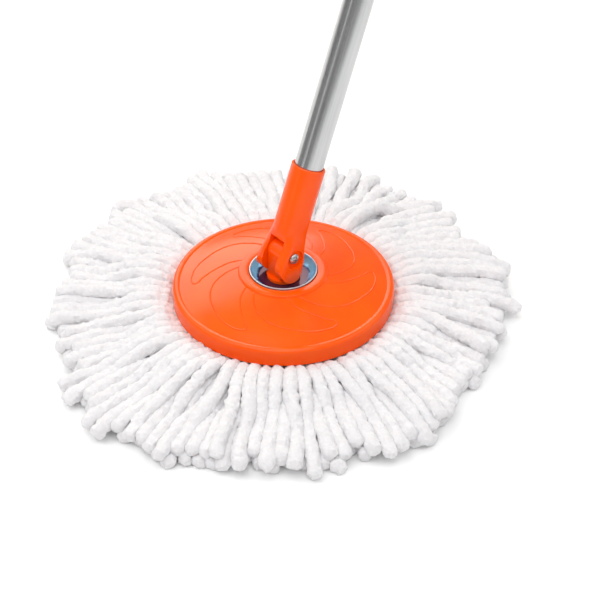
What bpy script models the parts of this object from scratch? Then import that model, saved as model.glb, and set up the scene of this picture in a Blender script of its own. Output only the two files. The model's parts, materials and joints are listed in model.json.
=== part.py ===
"""Spin mop: round head plate with a chenille fringe, swivel joint and telescopic push-spin pole.

Metres, +Z up. The origin is on the floor under the middle of the head.
The swivel turns about Z, the pole tilts about Y, and at rest the pole leans towards +X.
"""

import math

import bmesh
import bpy
from mathutils import Matrix, Vector

MM = 0.001
GAP = 0.3 * MM

# Head
PLATE_RADIUS = 80 * MM
PLATE_RIM_TOP = 28 * MM
PLATE_SKIRT_BOTTOM = 17 * MM
PLATE_WALL = 2.4 * MM
HUB_RADIUS = 32 * MM
HUB_TOP = 40.5 * MM
CUP_RADIUS = 24 * MM
CUP_RIM = 41.5 * MM
CUP_FLOOR = 35.2 * MM
CUP_SHEET = 1.2 * MM
FRINGE_RADIUS = 167.5 * MM
FRINGE_TOP = 31 * MM
FRINGE_UNDER = 12.3 * MM

# Tilt joint
PIVOT_HEIGHT = 56.3 * MM
LEAN = math.radians(20.7)
KNUCKLE_HALF_WIDTH = 7 * MM
KNUCKLE_RADIUS = 8.5 * MM
KNUCKLE_BASE_RADIUS = 12 * MM
PIVOT_SCREW_RADIUS = 2 * MM
SWIVEL_SCREW_RADIUS = 3 * MM

# Pole fork, along the pole from the pivot
SOCKET_RADIUS = 12.25 * MM
SOCKET_TOP = 67 * MM
SOCKET_FLOOR = 24 * MM
SHOULDER = 16.8 * MM
SLOT_ROOF = 11.5 * MM
EAR_END_HALF_WIDTH = 11.3 * MM
EAR_END_CENTRE = -6.5 * MM
EAR_END_OUTER = 15.6 * MM

# Tubes and handle, along the pole from the pivot
LOWER_TUBE_RADIUS = 10.25 * MM
UPPER_TUBE_RADIUS = 12.5 * MM
TUBE_WALL = 0.5 * MM
LOWER_TUBE_TOP = 690 * MM
UPPER_TUBE_BOTTOM = 602 * MM
UPPER_TUBE_TOP = 1172 * MM
COLLAR_TOP = 640 * MM
GRIP_BOTTOM = 1058 * MM
GRIP_RADIUS = 15.8 * MM
CAP_TOP = 1222 * MM
HANGING_HOLE_HEIGHT = 1203 * MM
HANGING_HOLE_RADIUS = 4.5 * MM

# Twisted drive rod
ROD_WIDTH = 6 * MM
ROD_THICKNESS = 2.4 * MM
SLOT_GAP = 0.6 * MM
ROD_LEAD = 60 * MM
ROD_BOTTOM = 655 * MM
ROD_TOP = 1015 * MM
ROD_PLUG_BOTTOM = 1000 * MM
ROD_PIN_HEIGHT = 1027 * MM
NUT_BOTTOM = 666.5 * MM
NUT_TOP = 680.5 * MM

ORANGE = (1.0, 0.115, 0.012)
WHITE = (0.9, 0.9, 0.9)
STEEL = (0.62, 0.63, 0.65)
DARK = (0.03, 0.03, 0.035)


def clear_scene():
    for obj in list(bpy.data.objects):
        bpy.data.objects.remove(obj, do_unlink=True)


def new_collection(name):
    collection = bpy.data.collections.new(name)
    bpy.context.scene.collection.children.link(collection)
    return collection


def make_material(name, colour, roughness, metallic=0.0):
    material = bpy.data.materials.new(name)
    material.use_nodes = True
    shader = material.node_tree.nodes["Principled BSDF"]
    shader.inputs["Base Color"].default_value = (*colour, 1.0)
    shader.inputs["Roughness"].default_value = roughness
    shader.inputs["Metallic"].default_value = metallic
    return material


def add_object(name, mesh, material, parent=None, angle=35):
    """Links a mesh as a named piece, smooth except at edges sharper than the angle."""
    obj = bpy.data.objects.new(name, mesh)
    mesh.materials.append(material)
    mesh.shade_smooth()
    mesh.set_sharp_from_angle(angle=math.radians(angle))
    PIECES.objects.link(obj)
    obj.parent = parent
    return obj


def as_cutter(obj):
    """Moves a shape to the cutters and hides it from renders."""
    PIECES.objects.unlink(obj)
    CUTTERS.objects.link(obj)
    obj.hide_render = True
    obj.display_type = "WIRE"
    return obj


def boolean(obj, other, operation="DIFFERENCE"):
    modifier = obj.modifiers.new(other.name, "BOOLEAN")
    modifier.operation = operation
    modifier.object = other
    modifier.solver = "EXACT"


def profile_mesh(name, points, closed):
    """A profile of (radius, height) points in the local XZ plane, as a chain of edges."""
    mesh = bpy.data.meshes.new(name)
    last = len(points) if closed else len(points) - 1
    edges = [(i, (i + 1) % len(points)) for i in range(last)]
    mesh.from_pydata([(radius, 0.0, height) for radius, height in points], edges, [])
    return mesh


def turned(name, points, material, parent=None, steps=64):
    """A solid of revolution about local Z. The points run down the outer side.

    A profile that starts and ends on the axis is a solid. Any other profile closes into a ring.
    """
    closed = points[0][0] > 0 or points[-1][0] > 0
    obj = add_object(name, profile_mesh(name, points, closed), material, parent)
    screw = obj.modifiers.new("turn", "SCREW")
    screw.axis = "Z"
    screw.angle = 2 * math.pi
    screw.steps = steps
    screw.render_steps = steps
    screw.use_merge_vertices = True
    screw.merge_threshold = 0.00002
    screw.use_smooth_shade = True
    return obj


def tube_points(outer, inner, bottom, top):
    return [(outer, top), (outer, bottom), (inner, bottom), (inner, top)]


def rod(name, radius, bottom, top, material, parent=None, steps=24):
    return turned(name, [(0, top), (radius, top), (radius, bottom), (0, bottom)], material, parent, steps)


def along_y(obj):
    """Turns a piece that was made along Z so that its axis lies along -Y, towards the screw head."""
    obj.rotation_euler = (math.radians(90), 0, 0)
    return obj


def along_x(obj):
    obj.rotation_euler = (0, math.radians(90), 0)
    return obj


def block(name, low, high, material, parent=None):
    """A box between two corners."""
    mesh = bpy.data.meshes.new(name)
    shape = bmesh.new()
    bmesh.ops.create_cube(shape, size=1.0)
    low = Vector(low)
    high = Vector(high)
    bmesh.ops.scale(shape, vec=high - low, verts=shape.verts)
    bmesh.ops.translate(shape, vec=(low + high) / 2, verts=shape.verts)
    shape.to_mesh(mesh)
    shape.free()
    return add_object(name, mesh, material, parent)


def rounded_prism(name, outline, half_width, material, parent=None):
    """A flat outline of (x, z) points, run anticlockwise seen from -Y, made into a prism along Y."""
    mesh = bpy.data.meshes.new(name)
    shape = bmesh.new()
    ring = [shape.verts.new((x, -half_width, z)) for x, z in outline]
    face = shape.faces.new(ring)
    grown = bmesh.ops.extrude_face_region(shape, geom=[face])
    moved = [item for item in grown["geom"] if isinstance(item, bmesh.types.BMVert)]
    bmesh.ops.translate(shape, vec=(0, 2 * half_width, 0), verts=moved)
    bmesh.ops.recalc_face_normals(shape, faces=shape.faces)
    shape.to_mesh(mesh)
    shape.free()
    return add_object(name, mesh, material, parent)


def arc(centre, radius, start, end, steps):
    """Points on a circle in the XZ plane, with angles in degrees from +X towards +Z."""
    points = []
    for step in range(steps + 1):
        angle = math.radians(start + (end - start) * step / steps)
        points.append((centre[0] + radius * math.cos(angle), centre[1] + radius * math.sin(angle)))
    return points


def twisted_bar(name, width, thickness, bottom, top, material, parent=None):
    """A flat bar twisted about local Z by one turn for each ROD_LEAD of height."""
    mesh = bpy.data.meshes.new(name)
    shape = bmesh.new()
    corners = [(-1, -1), (0, -1), (1, -1), (1, 1), (0, 1), (-1, 1)]
    ring = [shape.verts.new((x * width / 2, y * thickness / 2, bottom)) for x, y in corners]
    outline = [shape.edges.new((ring[i - 1], ring[i])) for i in range(6)]
    turn_at_bottom = Matrix.Rotation(2 * math.pi * bottom / ROD_LEAD, 3, "Z")
    bmesh.ops.rotate(shape, matrix=turn_at_bottom, verts=ring)
    turns = (top - bottom) / ROD_LEAD
    steps = max(3, round(turns * 18))
    bmesh.ops.spin(
        shape,
        geom=ring + outline,
        cent=(0, 0, 0),
        axis=(0, 0, 1),
        dvec=(0, 0, (top - bottom) / steps),
        angle=2 * math.pi * turns,
        steps=steps,
        use_duplicate=False,
    )
    bmesh.ops.holes_fill(shape, edges=shape.edges, sides=6)
    bmesh.ops.triangulate(shape, faces=shape.faces)
    bmesh.ops.recalc_face_normals(shape, faces=shape.faces)
    shape.to_mesh(mesh)
    shape.free()
    return add_object(name, mesh, material, parent)


def make_head():
    """The plate, the polished cup in its middle, and the refill with its fringe."""
    well_top = CUP_FLOOR - CUP_SHEET - GAP
    well_bottom = well_top - 2 * MM
    cup_wall = CUP_RADIUS + CUP_SHEET + 0.6 * MM
    under_slope = HUB_TOP - 4.2 * MM
    plate = [
        (cup_wall, HUB_TOP),
        (HUB_RADIUS - 0.6 * MM, HUB_TOP),
        (HUB_RADIUS + 0.5 * MM, HUB_TOP - 1.6 * MM),
        (52 * MM, 35.4 * MM),
        (68 * MM, 31.6 * MM),
        (76 * MM, 29.2 * MM),
        (79 * MM, 29 * MM),
        (PLATE_RADIUS, PLATE_RIM_TOP - 0.8 * MM),
        (PLATE_RADIUS, PLATE_SKIRT_BOTTOM),
        (PLATE_RADIUS - PLATE_WALL, PLATE_SKIRT_BOTTOM),
        (PLATE_RADIUS - PLATE_WALL, 26.4 * MM),
        (61.5 * MM, 30.6 * MM),
        (61.5 * MM, 20 * MM),
        (59.2 * MM, 20 * MM),
        (59.2 * MM, 31.2 * MM),
        (52 * MM, 32.8 * MM),
        (HUB_RADIUS, under_slope),
        (cup_wall + PLATE_WALL, under_slope),
        (21 * MM, well_bottom),
        (SWIVEL_SCREW_RADIUS + GAP, well_bottom),
        (SWIVEL_SCREW_RADIUS + GAP, well_top),
        (19.5 * MM, well_top),
        (21 * MM, well_top + 0.5 * MM),
        (cup_wall - 0.4 * MM, HUB_TOP - 2.4 * MM),
    ]
    turned("mop_plate", plate, PLASTIC, steps=48)

    cup_inside = [(19.2 * MM, CUP_FLOOR + 0.6 * MM), (17.5 * MM, CUP_FLOOR)]
    cup_outside = [(18 * MM, CUP_FLOOR - CUP_SHEET), (20.2 * MM, CUP_FLOOR - 0.4 * MM)]
    cup = [
        (CUP_RADIUS - 0.8 * MM, CUP_RIM - 0.5 * MM),
        (CUP_RADIUS, CUP_RIM),
        (CUP_RADIUS + CUP_SHEET, CUP_RIM),
        (CUP_RADIUS + 0.6 * MM, CUP_RIM - 1.3 * MM),
        *reversed(cup_outside),
        (SWIVEL_SCREW_RADIUS + GAP, CUP_FLOOR - CUP_SHEET),
        (SWIVEL_SCREW_RADIUS + GAP, CUP_FLOOR),
        *reversed(cup_inside),
        (22 * MM, CUP_FLOOR + 3 * MM),
    ]
    turned("swivel_cup", cup, CHROME, steps=48)

    ring = [
        (70 * MM, 15.6 * MM),
        (70 * MM, 13 * MM),
        (46 * MM, 13 * MM),
        (46 * MM, 15.6 * MM),
        (56 * MM, 15.6 * MM),
        (56 * MM, 26 * MM),
        (58.8 * MM, 26 * MM),
        (58.8 * MM, 15.6 * MM),
    ]
    turned("refill_ring", ring, WHITE_PLASTIC, steps=48)

    fringe = [
        (0, FRINGE_UNDER),
        (PLATE_RADIUS - 2 * MM, FRINGE_UNDER),
        (PLATE_RADIUS + 1.5 * MM, 20 * MM),
        (84 * MM, 29 * MM),
        (90 * MM, FRINGE_TOP),
        (100 * MM, FRINGE_TOP - 1.5 * MM),
        (118 * MM, 25 * MM),
        (140 * MM, 18 * MM),
        (158 * MM, 12 * MM),
        (FRINGE_RADIUS, 7 * MM),
        (FRINGE_RADIUS, 3 * MM),
        (FRINGE_RADIUS - 5 * MM, 0),
        (0, 0),
    ]
    turned("strand_fringe", fringe, CHENILLE, steps=56)


def make_swivel():
    """The knuckle that turns in the cup, and the screw that holds it from below."""
    neck = KNUCKLE_RADIUS
    base_top = CUP_FLOOR + GAP + 2.2 * MM
    outline = [
        (-neck, CUP_FLOOR + GAP + 0.5 * MM),
        (neck, CUP_FLOOR + GAP + 0.5 * MM),
        *arc((0, PIVOT_HEIGHT), KNUCKLE_RADIUS, 0, 180, 20),
    ]
    knuckle = rounded_prism("knuckle", outline, KNUCKLE_HALF_WIDTH, PLASTIC)
    base = as_cutter(rod("knuckle_base", KNUCKLE_BASE_RADIUS, CUP_FLOOR + GAP, base_top, PLASTIC, steps=32))
    boolean(knuckle, base, "UNION")
    bore = as_cutter(along_y(rod("knuckle_bore", PIVOT_SCREW_RADIUS + GAP, -20 * MM, 20 * MM, PLASTIC)))
    bore.location = (0, 0, PIVOT_HEIGHT)
    boolean(knuckle, bore)
    thread_top = 48 * MM
    socket = as_cutter(rod("knuckle_thread", SWIVEL_SCREW_RADIUS + GAP, 20 * MM, thread_top + GAP, PLASTIC))
    boolean(knuckle, socket)

    washer_top = CUP_FLOOR - CUP_SHEET - 2 * GAP - 2 * MM
    washer_bottom = washer_top - 1 * MM
    washer = tube_points(9 * MM, SWIVEL_SCREW_RADIUS + GAP, washer_bottom, washer_top)
    turned("swivel_washer", washer, BRIGHT_STEEL, steps=28)

    head_top = washer_bottom - GAP
    screw = [
        (0, thread_top),
        (SWIVEL_SCREW_RADIUS, thread_top),
        (SWIVEL_SCREW_RADIUS, head_top),
        (6 * MM, head_top),
        (6 * MM, head_top - 2.6 * MM),
        (5 * MM, head_top - 3.4 * MM),
        (0, head_top - 3.4 * MM),
    ]
    swivel_screw = turned("swivel_screw", screw, BRIGHT_STEEL, steps=28)
    arm = 0.7 * MM
    slot_top = head_top - 1.6 * MM
    for name, size in (("swivel_recess_x", (3 * MM, arm)), ("swivel_recess_y", (arm, 3 * MM))):
        cross = block(name, (-size[0], -size[1], 0), (size[0], size[1], slot_top), BRIGHT_STEEL)
        boolean(swivel_screw, as_cutter(cross))


def fork_section(height):
    """Half widths along X and Y and the squareness of the fork below its shoulder."""
    share = max(0, (SHOULDER - height) / (SHOULDER - EAR_END_CENTRE + EAR_END_HALF_WIDTH))
    start = SOCKET_RADIUS * 0.995
    half_x = start + (EAR_END_HALF_WIDTH + 0.4 * MM - start) * min(1, share * 1.4)
    narrowing = 3.6 * MM * math.sin(math.pi * min(1, share * 1.6)) * (1 - share)
    half_y = start + (EAR_END_OUTER - start) * share
    squareness = 2 + 4 * min(1, share * 2.5)
    return half_x - narrowing, half_y, squareness


def make_yoke():
    """The flared lower end of the fork: a round section at the shoulder, squarer towards its ears."""
    steps = 48
    levels = 9
    bottom = EAR_END_CENTRE - EAR_END_HALF_WIDTH - 2 * MM
    top = SHOULDER + 3 * MM
    mesh = bpy.data.meshes.new("fork_yoke")
    shape = bmesh.new()
    rings = []
    for level in range(levels + 1):
        height = top + (bottom - top) * level / levels
        half_x, half_y, squareness = fork_section(height)
        ring = []
        for step in range(steps):
            angle = 2 * math.pi * (step + 0.5) / steps
            cosine = math.cos(angle)
            sine = math.sin(angle)
            reach = (abs(cosine) ** squareness + abs(sine) ** squareness) ** (-1 / squareness)
            ring.append(shape.verts.new((half_x * cosine * reach, half_y * sine * reach, height)))
        rings.append(ring)
    for upper, lower in zip(rings, rings[1:]):
        for step in range(steps):
            after = (step + 1) % steps
            shape.faces.new((upper[step], lower[step], lower[after], upper[after]))
    shape.faces.new(rings[0])
    shape.faces.new(list(reversed(rings[-1])))
    bmesh.ops.triangulate(shape, faces=shape.faces)
    bmesh.ops.recalc_face_normals(shape, faces=shape.faces)
    shape.to_mesh(mesh)
    shape.free()
    return add_object("pole_fork", mesh, PLASTIC, POLE)


def make_fork():
    """The fork that holds the pole and straddles the knuckle, with its screws."""
    fork = make_yoke()
    reach = 40 * MM
    end = EAR_END_HALF_WIDTH
    outline = [(end, reach), *reversed(arc((0, EAR_END_CENTRE), end, 180, 360, 23)), (-end, reach)]
    lobe = as_cutter(rounded_prism("fork_lobe", list(reversed(outline)), reach, PLASTIC, POLE))
    boolean(fork, lobe, "INTERSECT")
    socket = [
        (0, SOCKET_TOP),
        (SOCKET_RADIUS - 0.5 * MM, SOCKET_TOP),
        (SOCKET_RADIUS, SOCKET_TOP - 0.5 * MM),
        (SOCKET_RADIUS, SHOULDER),
        (0, SHOULDER),
    ]
    boolean(fork, as_cutter(turned("fork_socket", socket, PLASTIC, POLE, steps=52)), "UNION")
    bore = rod("fork_bore", LOWER_TUBE_RADIUS + GAP, SOCKET_FLOOR, SOCKET_TOP + 5 * MM, PLASTIC, POLE, 48)
    boolean(fork, as_cutter(bore))
    slot_half = KNUCKLE_HALF_WIDTH + GAP
    slot = block("fork_slot", (-reach, -slot_half, -reach), (reach, slot_half, SLOT_ROOF), PLASTIC, POLE)
    boolean(fork, as_cutter(slot))
    head_seat = 11.8 * MM
    nut_seat = 11 * MM
    head_recess = rod("fork_head_recess", 7 * MM, head_seat, reach, PLASTIC, POLE, 28)
    boolean(fork, as_cutter(along_y(head_recess)))
    nut_recess = rod("fork_nut_recess", 5.6 * MM, -reach, -nut_seat, PLASTIC, POLE, 28)
    boolean(fork, as_cutter(along_y(nut_recess)))
    pivot = rod("fork_pivot", PIVOT_SCREW_RADIUS + GAP, -reach, reach, PLASTIC, POLE, 22)
    boolean(fork, as_cutter(along_y(pivot)))

    head_base = head_seat + GAP
    screw = [
        (0, head_base + 2.1 * MM),
        (2.2 * MM, head_base + 1.9 * MM),
        (3.5 * MM, head_base + 1.2 * MM),
        (4 * MM, head_base + 0.4 * MM),
        (4 * MM, head_base),
        (PIVOT_SCREW_RADIUS, head_base),
        (PIVOT_SCREW_RADIUS, -nut_seat - 3.6 * MM),
        (0, -nut_seat - 3.6 * MM),
    ]
    pivot_screw = along_y(turned("pivot_screw", screw, BRIGHT_STEEL, POLE, steps=28))
    arm = 0.45 * MM
    recess_floor = head_base + 0.9 * MM
    recess_top = head_base + 4 * MM
    for name, size in (("pivot_recess_x", (2.4 * MM, arm)), ("pivot_recess_y", (arm, 2.4 * MM))):
        low = (-size[0], -size[1], recess_floor)
        cross = as_cutter(along_y(block(name, low, (size[0], size[1], recess_top), BRIGHT_STEEL, POLE)))
        boolean(pivot_screw, cross)

    nut_radius = 4.04 * MM
    nut = turned(
        "pivot_nut",
        tube_points(nut_radius, PIVOT_SCREW_RADIUS + GAP, -nut_seat - GAP - 3.2 * MM, -nut_seat - GAP),
        BRIGHT_STEEL,
        POLE,
        steps=6,
    )
    along_y(nut)


def make_lower_pole():
    """The inner tube, the screw that keeps it in the fork, and the drive nut in its upper end."""
    inner = LOWER_TUBE_RADIUS - TUBE_WALL
    bead = LOWER_TUBE_TOP - 25 * MM
    tube = [
        (LOWER_TUBE_RADIUS, LOWER_TUBE_TOP),
        (LOWER_TUBE_RADIUS, bead + 2 * MM),
        (LOWER_TUBE_RADIUS + 1 * MM, bead),
        (LOWER_TUBE_RADIUS, bead - 2 * MM),
        (LOWER_TUBE_RADIUS, SOCKET_FLOOR + GAP),
        (inner, SOCKET_FLOOR + GAP),
        (inner, LOWER_TUBE_TOP),
    ]
    lower_tube = turned("lower_tube", tube, TUBE_STEEL, POLE, steps=48)

    screw_height = 45 * MM
    head_base = SOCKET_RADIUS + GAP
    screw = [
        (0, head_base + 1.6 * MM),
        (1.8 * MM, head_base + 1.5 * MM),
        (3 * MM, head_base + 0.5 * MM),
        (3 * MM, head_base),
        (1.4 * MM, head_base),
        (1.4 * MM, 8.4 * MM),
        (0, 7.2 * MM),
    ]
    tube_screw = along_x(turned("tube_screw", screw, BRIGHT_STEEL, POLE, steps=20))
    tube_screw.location = (0, 0, screw_height)
    hole = as_cutter(along_x(rod("tube_screw_hole", 1.7 * MM, 5 * MM, 30 * MM, PLASTIC, POLE, 24)))
    hole.location = (0, 0, screw_height)
    boolean(lower_tube, hole)
    boolean(bpy.data.objects["pole_fork"], hole)

    throat = 4.3 * MM
    chamber = 8 * MM
    housing_radius = inner - GAP
    housing = [
        (housing_radius, LOWER_TUBE_TOP - GAP),
        (housing_radius, LOWER_TUBE_TOP - 30 * MM),
        (throat, LOWER_TUBE_TOP - 30 * MM),
        (throat, NUT_BOTTOM - GAP),
        (chamber, NUT_BOTTOM - GAP),
        (chamber, LOWER_TUBE_TOP - GAP),
    ]
    turned("nut_housing", housing, WHITE_PLASTIC, POLE, steps=32)

    nut = rod("drive_nut", chamber - 0.4 * MM, NUT_BOTTOM, NUT_TOP, DARK_PLASTIC, POLE, 32)
    slot = twisted_bar(
        "nut_slot",
        ROD_WIDTH + 2 * SLOT_GAP,
        ROD_THICKNESS + 2 * SLOT_GAP,
        NUT_BOTTOM - 3 * MM,
        NUT_TOP + 3 * MM,
        DARK_PLASTIC,
        POLE,
    )
    boolean(nut, as_cutter(slot))

    flange = LOWER_TUBE_TOP + GAP
    cap = [
        (11.4 * MM, flange + 3 * MM),
        (11.4 * MM, flange),
        (chamber - 0.4 * MM, flange),
        (chamber - 0.4 * MM, NUT_TOP + 2 * MM),
        (throat, NUT_TOP + 2 * MM),
        (throat, flange + 3 * MM),
    ]
    turned("housing_cap", cap, WHITE_PLASTIC, POLE, steps=32)

    ring = tube_points(11.7 * MM, LOWER_TUBE_RADIUS + GAP, bead + 2.5 * MM, LOWER_TUBE_TOP)
    turned("glide_ring", ring, WHITE_PLASTIC, POLE, steps=32)


def make_upper_pole():
    """The outer tube with the twisted rod inside it, its lock, its grip and its end cap."""
    inner = UPPER_TUBE_RADIUS - TUBE_WALL
    upper_tube = turned(
        "upper_tube",
        tube_points(UPPER_TUBE_RADIUS, inner, UPPER_TUBE_BOTTOM, UPPER_TUBE_TOP),
        TUBE_STEEL,
        POLE,
        steps=48,
    )

    collet = [
        (inner - GAP, COLLAR_TOP),
        (inner - GAP, UPPER_TUBE_BOTTOM - GAP),
        (UPPER_TUBE_RADIUS, UPPER_TUBE_BOTTOM - GAP),
        (UPPER_TUBE_RADIUS, UPPER_TUBE_BOTTOM - 4.5 * MM),
        (LOWER_TUBE_RADIUS + GAP, UPPER_TUBE_BOTTOM - 4.5 * MM),
        (LOWER_TUBE_RADIUS + GAP, COLLAR_TOP),
    ]
    turned("lock_collet", collet, WHITE_PLASTIC, POLE, steps=32)

    collar = [
        (14.2 * MM, COLLAR_TOP),
        (15.2 * MM, COLLAR_TOP - 2 * MM),
        (15.2 * MM, UPPER_TUBE_BOTTOM - 4 * MM),
        (UPPER_TUBE_RADIUS + GAP, UPPER_TUBE_BOTTOM - 4 * MM),
        (UPPER_TUBE_RADIUS + GAP, COLLAR_TOP),
    ]
    turned("lock_collar", collar, PLASTIC, POLE, steps=36)

    ring_top = UPPER_TUBE_BOTTOM - 5 * MM
    ring_bottom = ring_top - 32 * MM
    ring = [
        (16.5 * MM, ring_top),
        (16.5 * MM, ring_bottom + 8 * MM),
        (14 * MM, ring_bottom),
        (LOWER_TUBE_RADIUS + 2 * GAP, ring_bottom),
        (LOWER_TUBE_RADIUS + 2 * GAP, ring_top),
    ]
    lock_ring = turned("lock_ring", ring, PLASTIC, POLE, steps=36)
    flutes = 12
    for flute in range(flutes):
        angle = 2 * math.pi * flute / flutes
        groove = rod(f"lock_flute_{flute}", 1.6 * MM, ring_bottom - MM, ring_top + MM, PLASTIC, POLE, 12)
        groove.location = (17.4 * MM * math.cos(angle), 17.4 * MM * math.sin(angle), 0)
        boolean(lock_ring, as_cutter(groove))

    grip_inner = UPPER_TUBE_RADIUS + GAP
    grip_top = UPPER_TUBE_TOP - 1 * MM
    grip = [(GRIP_RADIUS - 1.4 * MM, grip_top)]
    rings = 5
    pitch = 14 * MM
    first = grip_top - 14 * MM
    grip.append((GRIP_RADIUS, grip_top - 1.5 * MM))
    for index in range(rings):
        centre = first - index * pitch
        grip.append((GRIP_RADIUS, centre + 1.6 * MM))
        grip.append((GRIP_RADIUS - 1 * MM, centre + 0.8 * MM))
        grip.append((GRIP_RADIUS - 1 * MM, centre - 0.8 * MM))
        grip.append((GRIP_RADIUS, centre - 1.6 * MM))
    grip.append((GRIP_RADIUS, GRIP_BOTTOM + 6 * MM))
    grip.append((grip_inner + 0.9 * MM, GRIP_BOTTOM))
    grip.append((grip_inner, GRIP_BOTTOM))
    grip.append((grip_inner, grip_top))
    turned("grip_sleeve", grip, PLASTIC, POLE, steps=32)

    cap_base = UPPER_TUBE_TOP + GAP
    cap = [
        (0, CAP_TOP),
        (4 * MM, CAP_TOP - 0.5 * MM),
        (7.5 * MM, CAP_TOP - 3 * MM),
        (9.4 * MM, CAP_TOP - 8 * MM),
        (10.5 * MM, CAP_TOP - 20 * MM),
        (13 * MM, CAP_TOP - 34 * MM),
        (GRIP_RADIUS, cap_base + 6 * MM),
        (GRIP_RADIUS, cap_base),
        (inner - GAP, cap_base),
        (inner - GAP, cap_base - 28 * MM),
        (inner - 2.4 * MM, cap_base - 28 * MM),
        (inner - 2.4 * MM, cap_base + 2 * MM),
        (0, cap_base + 2 * MM),
    ]
    end_cap = turned("end_cap", cap, PLASTIC, POLE, steps=32)
    reach = 30 * MM
    hole = as_cutter(along_y(rod("hanging_hole", HANGING_HOLE_RADIUS, -reach, reach, PLASTIC, POLE)))
    hole.location = (0, 0, HANGING_HOLE_HEIGHT)
    boolean(end_cap, hole)

    twisted_bar("drive_rod", ROD_WIDTH, ROD_THICKNESS, ROD_BOTTOM, ROD_TOP, BRIGHT_STEEL, POLE)
    stop_top = ROD_BOTTOM - GAP
    rod("rod_stop", 5.6 * MM, stop_top - 3 * MM, stop_top, BRIGHT_STEEL, POLE, 24)

    plug_top = ROD_PLUG_BOTTOM + 36 * MM
    plug = rod("rod_plug", inner - GAP, ROD_PLUG_BOTTOM, plug_top, WHITE_PLASTIC, POLE, 32)
    slot = twisted_bar(
        "plug_slot",
        ROD_WIDTH + 2 * SLOT_GAP,
        ROD_THICKNESS + 2 * SLOT_GAP,
        ROD_PLUG_BOTTOM - 3 * MM,
        ROD_TOP + GAP,
        WHITE_PLASTIC,
        POLE,
    )
    boolean(plug, as_cutter(slot))
    hole = as_cutter(along_x(rod("rod_pin_hole", 1.5 * MM + GAP, -reach, reach, PLASTIC, POLE, 24)))
    hole.location = (0, 0, ROD_PIN_HEIGHT)
    boolean(plug, hole)
    boolean(upper_tube, hole)
    seat = UPPER_TUBE_RADIUS + GAP
    pin = [
        (0, seat + 1 * MM),
        (2 * MM, seat + 0.8 * MM),
        (2.8 * MM, seat),
        (1.5 * MM, seat),
        (1.5 * MM, -seat),
        (2.8 * MM, -seat),
        (2 * MM, -seat - 0.8 * MM),
        (0, -seat - 1 * MM),
    ]
    rod_pin = along_x(turned("rod_pin", pin, BRIGHT_STEEL, POLE, steps=16))
    rod_pin.location = (0, 0, ROD_PIN_HEIGHT)


clear_scene()
PIECES = new_collection("spin_mop")
CUTTERS = new_collection("cutters")
PLASTIC = make_material("orange_plastic", ORANGE, 0.28)
WHITE_PLASTIC = make_material("white_plastic", WHITE, 0.45)
DARK_PLASTIC = make_material("dark_plastic", DARK, 0.5)
CHENILLE = make_material("white_chenille", WHITE, 0.95)
CHROME = make_material("chrome", (0.8, 0.82, 0.85), 0.08, 1.0)
TUBE_STEEL = make_material("tube_steel", STEEL, 0.25, 1.0)
BRIGHT_STEEL = make_material("bright_steel", STEEL, 0.3, 1.0)

POLE = bpy.data.objects.new("pole_axis", None)
PIECES.objects.link(POLE)
POLE.location = (0, 0, PIVOT_HEIGHT)
POLE.rotation_euler = (0, LEAN, 0)

make_head()
make_swivel()
make_fork()
make_lower_pole()
make_upper_pole()
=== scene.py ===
"""Spin mop, finished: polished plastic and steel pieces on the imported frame, and a chenille fringe.

Every strand of the fringe is laid by a small relaxation: strands keep their length, lie on the
floor, push each other aside and stay clear of the plate. No two strands lie alike, so none of
them is a copy of another.
"""

import json
import math
from types import SimpleNamespace

import bmesh
import bpy
import numpy as np
from mathutils import Matrix, Vector, noise


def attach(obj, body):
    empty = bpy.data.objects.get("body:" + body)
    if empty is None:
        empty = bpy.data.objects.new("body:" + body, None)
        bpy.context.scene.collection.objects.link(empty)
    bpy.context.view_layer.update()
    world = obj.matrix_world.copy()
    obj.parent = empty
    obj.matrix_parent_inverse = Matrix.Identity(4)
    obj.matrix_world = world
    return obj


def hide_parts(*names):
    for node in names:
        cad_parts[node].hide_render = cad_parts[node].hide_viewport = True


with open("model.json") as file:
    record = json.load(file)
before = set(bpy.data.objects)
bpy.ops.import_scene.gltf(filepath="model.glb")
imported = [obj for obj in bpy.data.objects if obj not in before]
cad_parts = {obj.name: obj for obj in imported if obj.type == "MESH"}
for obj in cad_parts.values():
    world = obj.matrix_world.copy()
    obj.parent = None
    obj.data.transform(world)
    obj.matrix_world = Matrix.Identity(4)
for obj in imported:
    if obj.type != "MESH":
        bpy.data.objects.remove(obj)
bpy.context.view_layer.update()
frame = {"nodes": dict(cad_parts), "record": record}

MM = 0.001

# View: the eye looks down at the plate's rim from the left of the pole.
RIM_HEIGHT = 28 * MM
VIEW_AZIMUTH = math.radians(-40)
VIEW_ELEVATION = math.radians(37.9)
VIEW_DISTANCE = 1.2
VIEW_SHIFT_RIGHT = 12 * MM
VIEW_SHIFT_DOWN = 12.3 * MM
LENS = 99.7
SENSOR_WIDTH = 36

# Studio: metres and watts
WORLD_STRENGTH = 0.36
WHITE = (1.0, 1.0, 1.0)
WARM_WHITE = (1.0, 0.94, 0.84)
HEAD_AIM = (0, 0, 0.1)
POLE_AIM = (0.1, 0, 0.4)
FLOOR_HALF_SIDE = 6
CARD_HEIGHT = 0.9
# Name, azimuth, elevation, distance, size, power, what it is aimed at, colour.
SOFTBOXES = (
    ("back_left_softbox", 153, 30, 2.2, (1.5, 1.4), 20, HEAD_AIM, WARM_WHITE),
    ("overhead_softbox", -70, 78, 2.0, (1.8, 1.8), 20, HEAD_AIM, WHITE),
    ("front_softbox", -40, 44, 2.2, (2.0, 1.2), 10, HEAD_AIM, WHITE),
    ("left_softbox", -130, 40, 2.2, (2.0, 1.2), 11, HEAD_AIM, WHITE),
    ("right_softbox", 52, 42, 2.2, (2.0, 1.2), 11, HEAD_AIM, WHITE),
    ("left_strip_light", -95, 8, 1.5, (0.13, 1.5), 0.45, POLE_AIM, WHITE),
)
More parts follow.
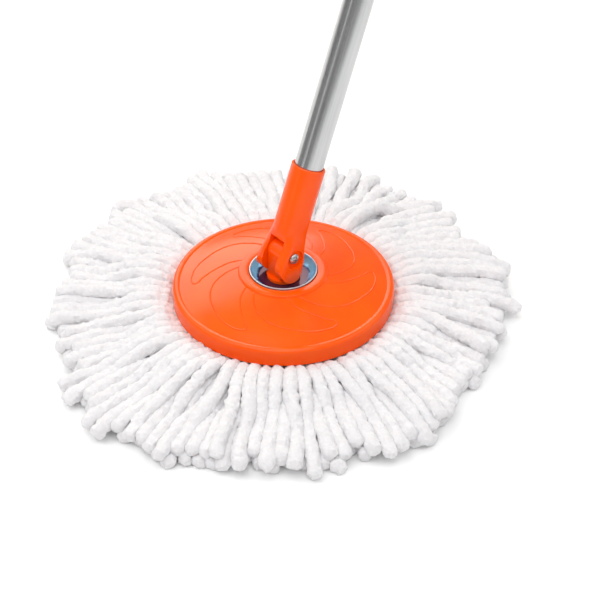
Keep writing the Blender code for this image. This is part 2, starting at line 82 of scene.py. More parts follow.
# Name, azimuth, distance, width.
REFLECTOR_CARDS = (("left_card", -127, 0.78, 0.56), ("front_card", -71, 0.78, 0.34))

# Meshes
MERGE_DISTANCE = 1e-6
SMOOTH_ANGLE = math.radians(32)
ROUNDED_ANGLE = math.radians(30)
FLAT_ANGLE = math.radians(0.5)
ROUNDING_STEPS = 2
SHADING_WEIGHT = 80
PLATE_STEPS = 180
CUP_STEPS = 128

# Head
PLATE_RADIUS = 80 * MM
SKIRT_BOTTOM = 17 * MM
CUP_RADIUS = 24 * MM
PETALS = 6
PETAL_TIP = math.radians(-33.6)
PETAL_LINE_RADIUS = 0.55 * MM
PETAL_LINE_SINK = 0.12 * MM
PETAL_BEVEL_STEPS = 2
PETAL_CURVE_STEPS = 6
# The dome between the hub and the rim's bead, as (radius, height) in mm.
DOME = ((32.5, 38.9), (42, 37.2), (52, 35.4), (60, 33.6), (68, 31.6), (73.6, 29.9))

# Pole
POLE_LEAN = math.radians(20.7)

# Fringe: the top layer comes first in each tuple of three.
STRANDS_PER_LAYER = (68, 72, 76)
ROOT_HEIGHTS = (10 * MM, 7.2 * MM, 4.4 * MM)
# How high a layer starts before it falls, its share of the fringe's reach, and the length that it
# uses up on its way down.
LAYER_LIFT_MM = (36, 22, 9)
LAYER_REACH = (0.95, 0.99, 1.0)
LAYER_SPARE_MM = (16, 9, 4)
# Strands are cut unevenly: by what share of their length, and how often.
LENGTH_STEPS = (-0.14, -0.06, -0.01, 0.05)
LENGTH_CHANCES = (0.15, 0.35, 0.35, 0.15)
STRAND_RADIUS = 4.7 * MM
PACKED_RADIUS = 4.1 * MM
TIP_SWELL = 0.6 * MM
STRAND_NODES = 14
ROOT_RADIUS = 75 * MM
WIDEST = 174 * MM
# Roots are spaced evenly, give or take a share of the spacing, and each layer is staggered. Where
# a strand heads varies by radians, and how far it then turns by degrees.
ROOT_SCATTER = 0.2
LAYER_STAGGER = 0.33
HEADING_SCATTER = 0.035
SWEEP_SCATTER = 6
# A strand waves a little as it goes, in degrees at each node and radians of phase between them.
WAVE_RANGE = (1, 4.5)
WAVE_PITCH = 0.9
# It sets out turned back by this share of its whole turn, so that its tip ends in its place.
TURNED_BACK = 0.3
ROOT_SLOPE = 0.5
RISING_NODES = 3
# Where the strands lie in a tangle, and how far that spreads, in degrees as the eye sees them.
# There they are longer, less regular, more wavy and start higher.
TANGLE_DIRECTION = 68
TANGLE_SPREAD = 20
TANGLE_EXTRA_LENGTH = 0.05
TANGLE_SCATTER = 24
TANGLE_WAVE = 7
TANGLE_LIFT = 8 * MM
FRINGE_SEED = 11
LAYER_SEED = 31

# Relaxation of the strands. In each round they fall a little, touching ones move apart by a share
# of their overlap, and each eases by a share towards its own curl. A strand rests on the floor
# with its middle a little under its radius up, because pile flattens.
ROUNDS = 320
ROUNDS_PER_SEARCH = 6
NODES_THAT_MAY_TOUCH = 2
SEARCH_MARGIN = 5 * MM
SEARCH_BLOCK = 400
FALL = 0.35 * MM
PUSH = 0.28
STIFFNESS = 0.15
RESTING_SHARE = 0.92

# A strand's surface
UNDER_PLATE_MM = (50, 62)
# The share of its thickness that a strand has at three distances from its root.
FAN_IN = ((0, 25 * MM, 40 * MM), (0.62, 0.85, 1.0))
THICKNESS_RANGE = (0.92, 1.08)
BLUNT_LENGTH = 0.8
TIP_LEFT = 0.03
CURVE_STEPS = 5
BEVEL_STEPS = 6
TUFT_SIZE = 2.9 * MM
TUFT_HEIGHT_MM = 1.5
TUFT_MIDDLE = 0.55
LUMP_SIZE = 6 * MM
LUMP_HEIGHT_MM = 1.2
RIB_PITCH = 5.6 * MM
RIB_DEPTH = 0.04
FLOOR_GAP = 0.1 * MM


# ---------------------------------------------------------------- materials


def colour(code):
    """An sRGB hex colour as linear RGBA."""
    parts = [int(code[i : i + 2], 16) / 255 for i in (1, 3, 5)]
    linear = [c / 12.92 if c <= 0.04045 else ((c + 0.055) / 1.055) ** 2.4 for c in parts]
    return (*linear, 1.0)


def add(tree, kind, links=None, **settings):
    """Adds a node, sets its sockets or properties by name, and links sockets to other outputs."""
    node = tree.nodes.new(kind)
    for name, value in settings.items():
        if hasattr(node, name):
            setattr(node, name, value)
        else:
            node.inputs[name.replace("_", " ")].default_value = value
    for name, output in (links or {}).items():
        tree.links.new(output, node.inputs[name])
    return node


def new_material(name):
    """A new material, its node tree, its shader and the Object coordinates."""
    material = bpy.data.materials.new(name)
    material.use_nodes = True
    tree = material.node_tree
    shader = tree.nodes["Principled BSDF"]
    place = tree.nodes.new("ShaderNodeTexCoord")
    return material, tree, shader, place.outputs["Object"]


def ramp(tree, source, stops):
    """A colour ramp with (position, colour) stops."""
    node = add(tree, "ShaderNodeValToRGB", {"Fac": source})
    elements = node.color_ramp.elements
    for index, (position, value) in enumerate(stops):
        element = elements[index] if index < 2 else elements.new(position)
        element.position = position
        element.color = value
    return node.outputs["Color"]


def uneven_roughness(tree, shader, pattern, low, high):
    """Lets the roughness wander between two values with a pattern."""
    rough = add(tree, "ShaderNodeMapRange", {"Value": pattern}, To_Min=low, To_Max=high)
    tree.links.new(rough.outputs["Result"], shader.inputs["Roughness"])


def matte(name, code, roughness, specular):
    """A plain dull surface, for the studio's own floor and cards."""
    material, _, shader, _ = new_material(name)
    shader.inputs["Base Color"].default_value = colour(code)
    shader.inputs["Roughness"].default_value = roughness
    shader.inputs["Specular IOR Level"].default_value = specular
    return material


def moulded_plastic(name, base, shade, roughness, grain_mm):
    """Injection moulded plastic: an even colour under a skin that mirrors softly.

    The eye sees a broad, slightly uneven highlight, with faint flow clouds in the colour. The
    skin's grain is drawn coarser than the real one, so that it shows.
    """
    material, tree, shader, place = new_material(name)
    clouds = add(tree, "ShaderNodeTexNoise", {"Vector": place}, Scale=1 / (30 * MM), Detail=3.0)
    tint = ramp(tree, clouds.outputs["Fac"], [(0.35, colour(shade)), (0.6, colour(base))])
    tree.links.new(tint, shader.inputs["Base Color"])
    grain = add(tree, "ShaderNodeTexNoise", {"Vector": place}, Detail=4.0)
    grain.inputs["Scale"].default_value = 1 / (grain_mm * MM)
    uneven_roughness(tree, shader, grain.outputs["Fac"], roughness * 0.8, roughness * 1.25)
    skin = add(tree, "ShaderNodeBump", {"Height": grain.outputs["Fac"]}, Strength=0.06)
    skin.inputs["Distance"].default_value = 0.15 * MM
    tree.links.new(skin.outputs["Normal"], shader.inputs["Normal"])
    shader.inputs["IOR"].default_value = 1.49
    shader.inputs["Specular IOR Level"].default_value = 0.3
    return material


def drawn_steel():
    """Drawn and polished steel tube: long faint draw lines along the tube, bright between them.

    Real draw lines are hair fine. They are drawn 0.8 mm across, so that they show.
    """
    material, tree, shader, place = new_material("drawn_steel_tube")
    upright = add(tree, "ShaderNodeMapping", {"Vector": place}, vector_type="TEXTURE")
    upright.inputs["Rotation"].default_value = (0, POLE_LEAN, 0)
    upright.inputs["Scale"].default_value = (0.8 * MM, 0.8 * MM, 60 * MM)
    place = upright.outputs["Vector"]
    lines = add(tree, "ShaderNodeTexNoise", {"Vector": place}, Scale=1.0, Detail=3.0)
    tint = ramp(tree, lines.outputs["Fac"], [(0.3, colour("#B9BABB")), (0.7, colour("#CDCECF"))])
    tree.links.new(tint, shader.inputs["Base Color"])
    uneven_roughness(tree, shader, lines.outputs["Fac"], 0.16, 0.26)
    scratch = add(tree, "ShaderNodeBump", {"Height": lines.outputs["Fac"]}, Strength=0.05)
    scratch.inputs["Distance"].default_value = 0.04 * MM
    tree.links.new(scratch.outputs["Normal"], shader.inputs["Normal"])
    shader.inputs["Metallic"].default_value = 1.0
    return material


def zinc_steel():
    """Bright zinc plated steel: pale crystal cells with greyer borders, under a patchy shine.

    Real cells are finer. They are drawn 0.9 mm across, so that they show on small screws.
    """
    material, tree, shader, place = new_material("zinc_plated_steel")
    cells = add(tree, "ShaderNodeTexVoronoi", {"Vector": place}, Scale=1 / (0.9 * MM))
    stops = [(0.0, colour("#D9DADC")), (0.8, colour("#A9ABAF"))]
    tint = ramp(tree, cells.outputs["Distance"], stops)
    tree.links.new(tint, shader.inputs["Base Color"])
    grain = add(tree, "ShaderNodeTexNoise", {"Vector": place}, Scale=1 / (0.6 * MM), Detail=3.0)
    uneven_roughness(tree, shader, grain.outputs["Fac"], 0.22, 0.42)
    shader.inputs["Metallic"].default_value = 1.0
    return material


def chromed_cup():
    """Chromed pressing with painted reflections: pale blue on its wall, darker purple on its floor.

    The painted reflections go by distance from the middle, so the wall reads as a pale blue crescent,
    and a pale painted highlight runs round the lip.
    """
    material, tree, shader, place = new_material("chrome_with_painted_reflections")
    split = add(tree, "ShaderNodeSeparateXYZ", {"Vector": place})
    flat = add(tree, "ShaderNodeCombineXYZ", {"X": split.outputs["X"], "Y": split.outputs["Y"]})
    away = add(tree, "ShaderNodeVectorMath", {0: flat.outputs["Vector"]}, operation="LENGTH")
    clouds = add(tree, "ShaderNodeTexNoise", {"Vector": place}, Scale=1 / (5 * MM), Detail=4.0)
    shift = add(tree, "ShaderNodeMath", {0: clouds.outputs["Fac"]}, operation="MULTIPLY_ADD")
    shift.inputs[1].default_value = 4 * MM
    shift.inputs[2].default_value = -2 * MM
    both = {0: away.outputs["Value"], 1: shift.outputs["Value"]}
    reach = add(tree, "ShaderNodeMath", both, operation="ADD")
    part = add(tree, "ShaderNodeMapRange", {"Value": reach.outputs["Value"]})
    part.inputs["From Min"].default_value = 8 * MM
    part.inputs["From Max"].default_value = CUP_RADIUS
    # Painted reflections: dark purple on the floor, a dark blue edge, pale blue on the wall, and a
    # pale painted highlight on the lip.
    stops = [
        (0.0, colour("#2E1A28")),
        (0.4, colour("#5C2C40")),
        (0.64, colour("#3F2348")),
        (0.69, colour("#4C6AA0")),
        (0.74, colour("#8CCDF0")),
        (0.95, colour("#86CBEF")),
        (0.985, colour("#C9CDD2")),
    ]
    tree.links.new(ramp(tree, part.outputs["Result"], stops), shader.inputs["Base Color"])
    uneven_roughness(tree, shader, clouds.outputs["Fac"], 0.08, 0.22)
    shader.inputs["Metallic"].default_value = 0.32
    return material


def chenille():
    """White microfibre chenille: soft pile in small tufts, with no gloss and a pale sheen.

    The eye sees nubs about 2 mm across and a finer pile on them, with painted shade that makes
    the hollows between the nubs a little greyer.
    Real pile is finer still. It is drawn at 0.7 mm, so that it shows.
    """
    material, tree, shader, place = new_material("microfibre_chenille")
    tufts = add(tree, "ShaderNodeTexVoronoi", {"Vector": place}, feature="SMOOTH_F1")
    tufts.inputs["Scale"].default_value = 1 / (2.2 * MM)
    pile = add(tree, "ShaderNodeTexNoise", {"Vector": place}, Detail=5.0, Roughness=0.65)
    pile.inputs["Scale"].default_value = 1 / (0.7 * MM)
    # Painted shade: the colour greys a little towards the hollows between the tufts.
    stops = [(0.1, colour("#F1F0F2")), (0.9, colour("#EAE7E8"))]
    tint = ramp(tree, tufts.outputs["Distance"], stops)
    tree.links.new(tint, shader.inputs["Base Color"])
    rise = add(tree, "ShaderNodeMath", {0: tufts.outputs["Distance"]}, operation="MULTIPLY_ADD")
    rise.inputs[1].default_value = -1.0
    tree.links.new(pile.outputs["Fac"], rise.inputs[2])
    bump = add(tree, "ShaderNodeBump", {"Height": rise.outputs["Value"]}, Strength=0.75)
    bump.inputs["Distance"].default_value = 1.0 * MM
    tree.links.new(bump.outputs["Normal"], shader.inputs["Normal"])
    shader.inputs["Roughness"].default_value = 0.95
    shader.inputs["Specular IOR Level"].default_value = 0.1
    shader.inputs["Sheen Weight"].default_value = 0.35
    shader.inputs["Sheen Roughness"].default_value = 0.5
    shader.inputs["Subsurface Weight"].default_value = 0.4
    shader.inputs["Subsurface Radius"].default_value = (1.0, 0.93, 0.9)
    shader.inputs["Subsurface Scale"].default_value = 2 * MM
    return material


# ---------------------------------------------------------------- mesh helpers


def place_piece(shape, name, body, nodes, material):
    """Turns a bmesh into a named piece that rides on a body and stands for CAD nodes."""
    mesh = bpy.data.meshes.new(name)
    shape.to_mesh(mesh)
    shape.free()
    mesh.shade_smooth()
    mesh.set_sharp_from_angle(angle=SMOOTH_ANGLE)
    mesh.materials.append(material)
    piece = bpy.data.objects.new(name, mesh)
    bpy.context.scene.collection.objects.link(piece)
    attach(piece, body)
    if nodes:
        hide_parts(*nodes)
    return piece


def merge_and_face_out(shape):
    """Merges doubled vertices and turns every face outwards."""
    bmesh.ops.remove_doubles(shape, verts=shape.verts, dist=MERGE_DISTANCE)
    bmesh.ops.recalc_face_normals(shape, faces=shape.faces)


def spun(outline, steps):
    """A turned shape about Z from a closed outline of (radius, height) points in mm."""
    shape = bmesh.new()
    ring = [shape.verts.new((radius * MM, 0, height * MM)) for radius, height in outline]
    edges = [shape.edges.new((ring[i - 1], ring[i])) for i in range(len(ring))]
    bmesh.ops.spin(
        shape,
        geom=ring + edges,
        cent=(0, 0, 0),
        axis=(0, 0, 1),
        angle=2 * math.pi,
        steps=steps,
        use_merge=True,
        use_duplicate=False,
    )
    merge_and_face_out(shape)
    return shape


def polished(node, width):
    """A copy of a CAD node with its flat stretches made whole and its edges rounded."""
    shape = bmesh.new()
    shape.from_mesh(frame["nodes"][node].data)
    bmesh.ops.remove_doubles(shape, verts=shape.verts, dist=MERGE_DISTANCE)
    bmesh.ops.dissolve_limit(
        shape, angle_limit=FLAT_ANGLE, verts=shape.verts, edges=shape.edges
    )
    shared = [edge for edge in shape.edges if len(edge.link_faces) == 2]
    bmesh.ops.bevel(
        shape,
        geom=[edge for edge in shared if edge.calc_face_angle() > ROUNDED_ANGLE],
        offset=width,
        affect="EDGES",
        segments=ROUNDING_STEPS,
        profile=0.5,
        clamp_overlap=True,
        material=-1,
    )
    return shape


# ---------------------------------------------------------------- camera, light and floor


def look_from(azimuth, elevation):
    """The unit vector from the object towards an eye at that azimuth and elevation."""
    level = math.cos(elevation)
    return Vector((math.sin(azimuth) * level, -math.cos(azimuth) * level, math.sin(elevation)))


def make_camera():
    """The eye that the render is seen from."""
    back = look_from(VIEW_AZIMUTH, VIEW_ELEVATION)
    right = Vector((math.cos(VIEW_AZIMUTH), math.sin(VIEW_AZIMUTH), 0))
    up = back.cross(right)
    data = bpy.data.cameras.new("camera")
    data.lens = LENS
    data.sensor_width = SENSOR_WIDTH
    data.clip_start = 0.01
    data.clip_end = 20
    camera = bpy.data.objects.new("camera", data)
    camera.location = Vector((0, 0, RIM_HEIGHT)) + back * VIEW_DISTANCE
    camera.location += right * VIEW_SHIFT_RIGHT - up * VIEW_SHIFT_DOWN
    camera.rotation_mode = "QUATERNION"
    camera.rotation_quaternion = (-back).to_track_quat("-Z", "Y")
    bpy.context.scene.collection.objects.link(camera)
    bpy.context.scene.camera = camera


def softbox(name, azimuth, elevation, distance, size, power, aim, tint):
    """A rectangular soft light, placed by the direction that it comes from."""
    data = bpy.data.lights.new(name, "AREA")
    data.shape = "RECTANGLE"
    data.size, data.size_y = size
    data.energy = power
    data.color = tint
    lamp = bpy.data.objects.new(name, data)
    back = look_from(math.radians(azimuth), math.radians(elevation))
    lamp.location = Vector(aim) + back * distance
    lamp.rotation_mode = "QUATERNION"
    lamp.rotation_quaternion = (-back).to_track_quat("-Z", "Y")
    lamp.visible_camera = False
    bpy.context.scene.collection.objects.link(lamp)


def reflector_card(name, azimuth, distance, width):
    """A grey card on the floor that only mirror-like surfaces see, to give steel its dark bands."""
    shape = bmesh.new()
    bmesh.ops.create_grid(shape, x_segments=1, y_segments=1, size=0.5)
    bmesh.ops.scale(shape, vec=(width, CARD_HEIGHT, 1), verts=shape.verts)
    out = look_from(math.radians(azimuth), 0)
    turn = (-out).to_track_quat("Z", "Y").to_matrix().to_4x4()
    stand = Matrix.Translation(out * distance + Vector((0, 0, CARD_HEIGHT / 2)))
    bmesh.ops.transform(shape, matrix=stand @ turn, verts=shape.verts)
    mesh = bpy.data.meshes.new(name)
    shape.to_mesh(mesh)
    shape.free()
    mesh.materials.append(matte("grey_card", "#8C8C8C", 0.95, 0.5))
    card = bpy.data.objects.new(name, mesh)
    for ray in ("camera", "diffuse", "shadow", "transmission", "volume_scatter"):
        setattr(card, "visible_" + ray, False)
    bpy.context.scene.collection.objects.link(card)


def make_studio():
    """World light, softboxes, reflector cards and the white floor."""
    scene = bpy.context.scene
    scene.view_settings.view_transform = "Standard"
    world = bpy.data.worlds.new("studio")
    world.use_nodes = True
    background = world.node_tree.nodes["Background"]
    background.inputs["Color"].default_value = (*WHITE, 1)
    background.inputs["Strength"].default_value = WORLD_STRENGTH
    scene.world = world
    for row in SOFTBOXES:
        softbox(*row)
    for row in REFLECTOR_CARDS:
        reflector_card(*row)
    shape = bmesh.new()
    bmesh.ops.create_grid(shape, x_segments=1, y_segments=1, size=FLOOR_HALF_SIDE)
    mesh = bpy.data.meshes.new("floor")
    shape.to_mesh(mesh)
    shape.free()
    floor = bpy.data.objects.new("floor", mesh)
    mesh.materials.append(matte("white_sweep", "#FCFCFC", 0.9, 0.1))
    scene.collection.objects.link(floor)


# ---------------------------------------------------------------- hard pieces


def make_plate(material):
    """The spinning plate: a shallow dome with a beaded rim, a straight skirt and a raised hub."""
    outline = [
        (24.9, 40.2),
        (25.4, 40.5),
        (31.0, 40.5),
        (31.8, 40.1),
        *DOME,
        (74.8, 29.6),
        (75.4, 29.9),
        (76.6, 30.3),
        (78.0, 30.1),
        (79.2, 29.3),
        (79.8, 28.2),
        (80, 27.0),
        (80, 17.3),
        (79.6, 17),
        (78, 17),
        (77.6, 17.3),
        (77.6, 26.4),
        (61.5, 30.6),
        (61.3, 20.2),
        (59.4, 20.2),
        (59.2, 31.2),
        (52, 32.8),
        (32, 36.3),
        (28.2, 36.3),
        (21, 31.7),
        (3.3, 31.7),
        (3.3, 33.7),
        (19.5, 33.7),
        (21, 34.2),
        (24.6, 38.6),
    ]
    shape = spun(outline, PLATE_STEPS)
    place_piece(shape, "domed_plate", "head", ["mop_plate"], material)


def plate_height(radius):
    """Height of the plate's dome at a distance from its axis."""
    radii, heights = zip(*DOME)
    return float(np.interp(radius / MM, radii, heights)) * MM


# One leaf's outline on the dome: degrees round from its tip, and radius in mm.
PETAL_EDGE = (
    (-76, 31.6),
    (-73, 34.5),
    (-64, 43),
    (-52, 52),
    (-40, 57.5),
    (-30, 60.5),
    (-20, 64),
    (-10, 66),
    (-3, 65.8),
    (0, 64),
    (-5, 57.5),
    (-12, 50.5),
    (-22, 42),
    (-28, 35.5),
    (-31, 31.6),
)


def make_petals(material):
    """Six thin moulded leaf outlines that sweep round the dome, in one piece."""
    curve = bpy.data.curves.new("petal_lines", "CURVE")
    curve.dimensions = "3D"
    curve.bevel_depth = PETAL_LINE_RADIUS
    curve.bevel_resolution = PETAL_BEVEL_STEPS
    curve.resolution_u = PETAL_CURVE_STEPS
    curve.use_fill_caps = True
    for petal in range(PETALS):
        spline = curve.splines.new("BEZIER")
        spline.bezier_points.add(len(PETAL_EDGE) - 1)
        for point, (turn, radius) in zip(spline.bezier_points, PETAL_EDGE):
            angle = PETAL_TIP + math.radians(turn) + petal * 2 * math.pi / PETALS
            reach = radius * MM
            height = plate_height(reach) - PETAL_LINE_SINK
            point.co = (reach * math.cos(angle), reach * math.sin(angle), height)
            point.handle_left_type = point.handle_right_type = "AUTO"
    place_piece(mesh_from_curve(curve), "petal_lines", "head", [], material)


def mesh_from_curve(curve):
    """The tube a curve draws, as a bmesh."""
    holder = bpy.data.objects.new("curve_holder", curve)
    bpy.context.scene.collection.objects.link(holder)
    graph = bpy.context.evaluated_depsgraph_get()
    mesh = bpy.data.meshes.new_from_object(holder.evaluated_get(graph))
    shape = bmesh.new()
    shape.from_mesh(mesh)
    bpy.data.objects.remove(holder)
    bpy.data.curves.remove(curve)
    bpy.data.meshes.remove(mesh)
    merge_and_face_out(shape)
    return shape


def make_cup(material):
    """The pressed cup round the knuckle: flat floor, sloping wall and a rolled lip."""
    outline = [
        (23.3, 40.6),
        (23.5, 41.1),
        (23.9, 41.35),
        (24.3, 41.3),
        (24.5, 41.0),
        (24.4, 40.2),
        (20.2, 34.8),
        (18, 34),
        (3.3, 34),
        (3.3, 35.2),
        (17.2, 35.2),
        (18.4, 35.4),
        (19.3, 35.9),
        (22, 38.6),
    ]
    shape = spun(outline, CUP_STEPS)
    place_piece(shape, "pressed_cup", "head", ["swivel_cup"], material)


# How wide each piece's edges are rounded, in mm.
EDGE_ROUNDING = {
    "knuckle": 0.5,
    "pole_fork": 0.45,
    "swivel_washer": 0.2,
    "swivel_screw": 0.15,
    "pivot_screw": 0.12,
    "pivot_nut": 0.2,
    "lower_tube": 0.12,
    "tube_screw": 0.12,
    "nut_housing": 0.3,
    "drive_nut": 0.2,
    "housing_cap": 0.3,
    "glide_ring": 0.15,
    "upper_tube": 0.12,
    "lock_collet": 0.25,
    "lock_collar": 0.5,
    "lock_ring": 0.6,
    "grip_sleeve": 0.5,
    "end_cap": 0.8,
    "drive_rod": 0.15,
    "rod_stop": 0.3,
    "rod_plug": 0.3,
    "rod_pin": 0.15,
    "refill_ring": 0.4,
}


def make_hard_pieces(materials):
    """Every other hard piece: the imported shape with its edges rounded.

    The weighted normals keep a long tube's reflections straight up to its rounded ends.
    """
    bodies = frame["record"]["behaviour"]["bodies"]
    body_of = {node: body for body, nodes in bodies.items() for node in nodes}
    for node, width in EDGE_ROUNDING.items():
        slot = frame["nodes"][node].data.materials[0].name
        shape = polished(node, width * MM)
        piece = place_piece(shape, node + "_piece", body_of[node], [node], materials[slot])
        even = piece.modifiers.new("even_shading", "WEIGHTED_NORMAL")
        even.weight = SHADING_WEIGHT
        even.keep_sharp = True


# ---------------------------------------------------------------- fringe

# Direction as the eye sees it (0 is to the right, 90 is away), and the strands' reach in mm.
REACH = (
    (0, 163),
    (12, 169),
    (22, 172),
    (40, 168),
    (50, 166),
    (62, 178),
    (76, 178),
    (88, 170),
    (97, 169),
    (112, 178),
    (123, 166),
    (136, 181),
    (146, 173),
    (160, 177),
    (172, 166),
    (200, 166),
    (212, 173),
    (233, 181),
    (250, 176),
    (275, 172),
    (300, 169),
    (316, 167),
    (330, 155),
    (344, 155),
    (355, 159),
    (360, 163),
)
# How far a strand's heading turns along its length, in degrees, by the same directions.
SWEEP = (
    (0, -28),
    (20, -46),
    (45, -50),
    (60, -12),
    (80, 14),
    (110, 8),
    (160, 6),
    (200, 4),
    (240, 6),
    (270, 0),
    (300, -4),
    (330, -16),
    (360, -28),
)


def seen_from_eye(angles):
    """World angles as the directions that REACH and SWEEP are listed by."""
    return np.degrees(angles - VIEW_AZIMUTH) % 360


def by_direction(pairs, angles):
    """Reads a list of (direction, value) at world angles."""
    directions, values = zip(*pairs)
    return np.interp(seen_from_eye(angles), directions, values)


def plan_strands():
    """Draws each strand's root, length and curl, before it meets its neighbours."""
    chance = np.random.default_rng(FRINGE_SEED)
    layers = np.repeat(np.arange(len(STRANDS_PER_LAYER)), STRANDS_PER_LAYER)
    angles = []
    for layer, number in enumerate(STRANDS_PER_LAYER):
        places = np.arange(number) + chance.uniform(-ROOT_SCATTER, ROOT_SCATTER, number)
        angles.append((places + LAYER_STAGGER * layer) * 2 * math.pi / number)
    angles = np.concatenate(angles)
    count = len(angles)
    tangled = np.exp(-(((seen_from_eye(angles) - TANGLE_DIRECTION) / TANGLE_SPREAD) ** 2))
    reach = by_direction(REACH, angles) * MM - STRAND_RADIUS
    uneven = chance.choice(LENGTH_STEPS, count, p=LENGTH_CHANCES)
    share = np.array(LAYER_REACH)[layers] + uneven
    spare = np.array(LAYER_SPARE_MM)[layers] * MM
    longer = 1 + TANGLE_EXTRA_LENGTH * tangled
    length = (reach - ROOT_RADIUS) * share * longer + spare
    scatter = SWEEP_SCATTER + TANGLE_SCATTER * tangled
    turn = np.radians(by_direction(SWEEP, angles) + chance.normal(0, scatter, count))
    turn = turn / (STRAND_NODES - 2)
    wave = np.radians(chance.uniform(*WAVE_RANGE, count) + TANGLE_WAVE * tangled)
    phase = chance.uniform(0, 2 * math.pi, count)
    heading = angles + chance.normal(0, HEADING_SCATTER, count)
    heading = heading - TURNED_BACK * turn * STRAND_NODES
    start = np.array(ROOT_HEIGHTS)[layers]
    lift = np.array(LAYER_LIFT_MM)[layers] * MM
    lift = lift + TANGLE_LIFT * tangled * chance.uniform(0, 1, count)
    roots = np.stack([np.cos(angles), np.sin(angles), start / ROOT_RADIUS], 1) * ROOT_RADIUS
    return SimpleNamespace(
        count=count,
        layers=layers,
        step=(length / (STRAND_NODES - 1))[:, None],
        turn=turn,
        wave=wave,
        phase=phase,
        heading=heading,
        start=start,
        lift=lift,
        roots=roots,
    )


def bend_at(plan, k):
    """How far each strand turns at its node k, in radians."""
    return plan.turn + plan.wave * np.sin(plan.phase + k * WAVE_PITCH)


def lay_freely(plan):
    """Each strand along its own curl, rising from its root to its layer's height."""
    spots = np.zeros((plan.count, STRAND_NODES, 3))
    spots[:, 0] = plan.roots
    level = np.zeros(plan.count)
    direction = plan.heading.copy()
    for k in range(1, STRAND_NODES):
        direction += bend_at(plan, k)
        move = np.stack([np.cos(direction), np.sin(direction), level], 1) * plan.step
        spots[:, k] = spots[:, k - 1] + move
        risen = min(1.0, k / RISING_NODES)
        spots[:, k, 2] = plan.start + (plan.lift - plan.start) * risen
    return spots


def restore_lengths(spots, plan):
    """Brings every strand back to its length from the root out, easing it towards its own curl."""
    spots[:, 0] = plan.roots
    upwards = np.full(plan.count, ROOT_SLOPE)
    for k in range(1, STRAND_NODES):
        if k == 1:
            ahead = np.stack([np.cos(plan.heading), np.sin(plan.heading), upwards], 1)
        else:
            ahead = spots[:, k - 1] - spots[:, k - 2]
            bend = bend_at(plan, k)
            x = ahead[:, 0] * np.cos(bend) - ahead[:, 1] * np.sin(bend)
            y = ahead[:, 0] * np.sin(bend) + ahead[:, 1] * np.cos(bend)
            ahead = np.stack([x, y, ahead[:, 2]], 1)
        ahead /= np.linalg.norm(ahead, axis=1)[:, None]
        way = spots[:, k] - spots[:, k - 1]
        way /= np.linalg.norm(way, axis=1)[:, None] + 1e-9
        way = way * (1 - STIFFNESS) + ahead * STIFFNESS
        way /= np.linalg.norm(way, axis=1)[:, None]
        spots[:, k] = spots[:, k - 1] + way * plan.step


def lay_strands():
    """Relaxes every strand: fixed length, gentle stiffness, weight, floor, plate and neighbours.

    Returns node positions, strand by node by axis, and each strand's layer.
    """
    plan = plan_strands()
    spots = lay_freely(plan)
    home = np.repeat(np.arange(plan.count), STRAND_NODES)
    place_in = np.tile(np.arange(STRAND_NODES), plan.count)
    thickening = TIP_SWELL * np.linspace(0, 1, STRAND_NODES)
    half = np.tile(PACKED_RADIUS + thickening, plan.count)
    rounds = ROUNDS
    for turn_count in range(rounds):
        flat = spots.reshape(-1, 3)
        if turn_count % ROUNDS_PER_SEARCH == 0:
            a, b = close_pairs(flat, 2 * PACKED_RADIUS + SEARCH_MARGIN)
            apart = np.abs(place_in[a] - place_in[b]) > NODES_THAT_MAY_TOUCH
            keep = (home[a] != home[b]) | apart
            near = (a[keep], b[keep])
        flat[:, 2] -= FALL
        push_apart(flat, half, *near)
        clear_of_plate(flat)
        flat[:, 2] = np.maximum(flat[:, 2], STRAND_RADIUS * RESTING_SHARE)
        flat[:, 1] = np.clip(flat[:, 1], -WIDEST, WIDEST)
        spots = flat.reshape(plan.count, STRAND_NODES, 3)
        restore_lengths(spots, plan)
    return spots, plan.layers


def close_pairs(flat, limit):
    """Index pairs of nodes that are nearer to each other than the limit."""
    firsts, seconds = [], []
    points = flat.astype(np.float32)
    for begin in range(0, len(points), SEARCH_BLOCK):
        block = points[begin : begin + SEARCH_BLOCK]
        gap = ((block[:, None, :] - points[None, :, :]) ** 2).sum(2)
        i, j = np.nonzero(gap < limit * limit)
        i += begin
        later = j > i
        firsts.append(i[later])
        seconds.append(j[later])
    return np.concatenate(firsts), np.concatenate(seconds)


def push_apart(flat, half, a, b):
    """Moves touching nodes apart by a share of their overlap."""
    gap = flat[b] - flat[a]
    size = np.linalg.norm(gap, axis=1)
    overlap = half[a] + half[b] - size
    close = overlap > 0
    a, b, gap, size, overlap = a[close], b[close], gap[close], size[close], overlap[close]
    shove = gap / (size[:, None] + 1e-9) * overlap[:, None] * PUSH
    for axis in range(3):
        flat[:, axis] -= np.bincount(a, shove[:, axis], len(flat))
        flat[:, axis] += np.bincount(b, shove[:, axis], len(flat))


def clear_of_plate(flat):
    """Keeps nodes below the skirt while they are under it, and outside it once they are past it."""
    away = np.hypot(flat[:, 0], flat[:, 1])
    low = flat[:, 2] < SKIRT_BOTTOM - PACKED_RADIUS
    beside = (away < PLATE_RADIUS + PACKED_RADIUS) & ~low
    under = beside & (away < PLATE_RADIUS)
    flat[under, 2] = SKIRT_BOTTOM - PACKED_RADIUS
    outside = beside & ~under
    scale = (PLATE_RADIUS + PACKED_RADIUS) / away[outside]
    flat[outside, 0] *= scale
    flat[outside, 1] *= scale


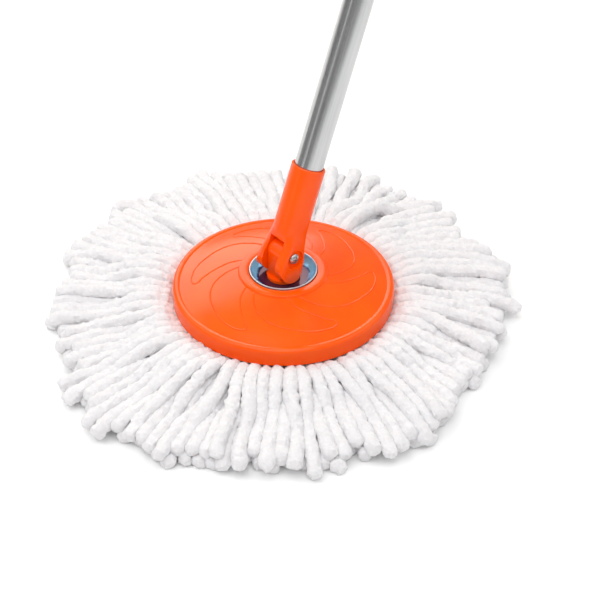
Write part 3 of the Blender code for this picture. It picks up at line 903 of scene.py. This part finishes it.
def make_strand_layer(index, lines, material):
    """One layer of strands as round tubes with blunt ends, roughened into tufts."""
    curve = bpy.data.curves.new("chenille_layer", "CURVE")
    curve.dimensions = "3D"
    curve.bevel_depth = 1.0
    curve.bevel_resolution = BEVEL_STEPS
    curve.use_fill_caps = True
    chance = np.random.default_rng(LAYER_SEED + index)
    for nodes in lines:
        add_strand(curve, nodes, ROOT_HEIGHTS[index], chance)
    shape = mesh_from_curve(curve)
    for vertex in shape.verts:
        vertex.normal_update()
    for vertex in shape.verts:
        vertex.co += vertex.normal * tuft_rise(vertex.co)
        vertex.co.z = max(vertex.co.z, FLOOR_GAP)
    place_piece(
        shape,
        f"chenille_strands_{index + 1}",
        "head",
        ["strand_fringe"] if index == 0 else [],
        material,
    )


def tuft_rise(spot):
    """How far a tuft stands out at a place: rounded cells, and softer lumps between them."""
    cells = noise.voronoi(spot / TUFT_SIZE)[0][0]
    lumps = noise.noise(spot / LUMP_SIZE)
    return (TUFT_MIDDLE - cells) * TUFT_HEIGHT_MM * MM + lumps * LUMP_HEIGHT_MM * MM


def drawn_finely(control):
    """A smooth line through the control points, as a Catmull-Rom curve."""
    fine = []
    last = len(control) - 1
    for k in range(last):
        before, here, there, after = (control[min(max(k + i, 0), last)] for i in (-1, 0, 1, 2))
        for t in np.arange(CURVE_STEPS) / CURVE_STEPS:
            fine.append(
                0.5
                * (
                    2 * here
                    + (there - before) * t
                    + (2 * before - 5 * here + 4 * there - after) * t**2
                    + (3 * here - before - 3 * there + after) * t**3
                )
            )
    fine.append(control[last])
    return np.array(fine)


def add_strand(curve, nodes, height, chance):
    """Adds one strand: a fan-in under the plate, then the laid nodes, drawn finely.

    It is thin where it fans in, ribbed along its length, a little thicker outwards, and blunt.
    """
    out = nodes[0, :2] / np.linalg.norm(nodes[0, :2])
    inner = [(*(out * reach * MM), height) for reach in UNDER_PLATE_MM]
    fine = drawn_finely(np.vstack([inner, nodes]))
    along = np.concatenate([[0], np.cumsum(np.linalg.norm(np.diff(fine, axis=0), axis=1))])
    thick = STRAND_RADIUS * chance.uniform(*THICKNESS_RANGE)
    swell = TIP_SWELL * along / along[-1]
    ribs = 1 + RIB_DEPTH * np.sin(along / RIB_PITCH * 2 * math.pi + chance.uniform(0, 6))
    left = along[-1] - along
    to_tip = np.clip(left / (thick * BLUNT_LENGTH), 0, 1)
    blunt = np.sqrt(np.clip(1 - (1 - to_tip) ** 2, TIP_LEFT, 1))
    fan = np.interp(along, *FAN_IN)
    radii = (thick + swell) * ribs * blunt * fan
    spline = curve.splines.new("POLY")
    spline.points.add(len(fine) - 1)
    spline.points.foreach_set("co", np.hstack([fine, np.ones((len(fine), 1))]).ravel())
    spline.points.foreach_set("radius", radii)


def make_fringe(material):
    """The whole fringe, one piece for each layer."""
    spots, layers = lay_strands()
    for index in range(len(STRANDS_PER_LAYER)):
        make_strand_layer(index, spots[layers == index], material)


# ---------------------------------------------------------------- making


make_camera()
make_studio()

# Name, main colour, the colour of its flow clouds, roughness, and grain size in mm.
ORANGE = ("moulded_orange_polypropylene", "#FF5B00", "#FF5400", 0.2, 1.6)
OFF_WHITE = ("moulded_white_polypropylene", "#ECECEA", "#E4E4E2", 0.4, 1.6)
DARK = ("moulded_dark_acetal", "#36363A", "#2E2E31", 0.45, 1.2)
MATERIALS = {
    "orange_plastic": moulded_plastic(*ORANGE),
    "white_plastic": moulded_plastic(*OFF_WHITE),
    "dark_plastic": moulded_plastic(*DARK),
    "chenille": chenille(),
    "chromed_cup": chromed_cup(),
    "tube_steel": drawn_steel(),
    "zinc_steel": zinc_steel(),
}
make_plate(MATERIALS["orange_plastic"])
make_petals(MATERIALS["orange_plastic"])
make_cup(MATERIALS["chromed_cup"])
make_hard_pieces(MATERIALS)
make_fringe(MATERIALS["chenille"])
